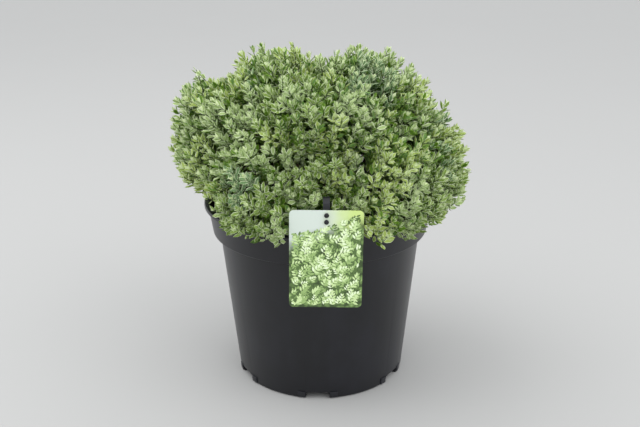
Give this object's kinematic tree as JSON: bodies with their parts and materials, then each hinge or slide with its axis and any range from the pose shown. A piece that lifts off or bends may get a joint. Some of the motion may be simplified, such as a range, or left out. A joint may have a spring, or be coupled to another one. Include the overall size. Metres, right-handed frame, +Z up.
{
  "type": "potted hebe shrub",
  "caption": "Dense, rounded hebe shrub with small grey-green leaves, in a tapered black nursery pot with an unlettered plant label hooked over the rim.",
  "frame": {"origin": "middle of the pot's underside, on the level that the pot stands on", "axes": "+Z up along the pot's axis, -Y towards the front where the label card hangs, +X to the right seen from the front"},
  "size_m": [0.3358, 0.299, 0.3811],
  "materials": {
    "pot_plastic": "satin black moulded plastic",
    "potting_mix": "damp peat and bark crumbs",
    "bark": "ridged grey-brown bark",
    "foliage": "waxy grey-green leaves",
    "label_print": "printed plastic card",
    "holder_plastic": "black moulded plastic"
  },
  "bodies": {
    "root": {"pot": "pot_plastic", "potting_mix": "potting_mix", "trunk": "bark", "bough_top_left": "bark", "bough_top_right": "bark", "bough_top_back": "bark", "bough_top_front": "bark", "bough_shoulder_left": "bark", "bough_shoulder_right": "bark", "bough_side_left": "bark", "bough_side_right": "bark", "bough_front_left": "bark", "bough_front_middle": "bark", "bough_front_right": "bark", "bough_back_left": "bark", "bough_back_middle": "bark", "bough_back_right": "bark", "foliage_top_left": "foliage", "foliage_top_right": "foliage", "foliage_top_back": "foliage", "foliage_top_front": "foliage", "foliage_shoulder_left": "foliage", "foliage_shoulder_right": "foliage", "foliage_side_left": "foliage", "foliage_side_right": "foliage", "foliage_front_left": "foliage", "foliage_front_middle": "foliage", "foliage_front_right": "foliage", "foliage_back_left": "foliage", "foliage_back_middle": "foliage", "foliage_back_right": "foliage", "label_card": "label_print", "label_holder": "holder_plastic"}
  },
  "joints": []
}
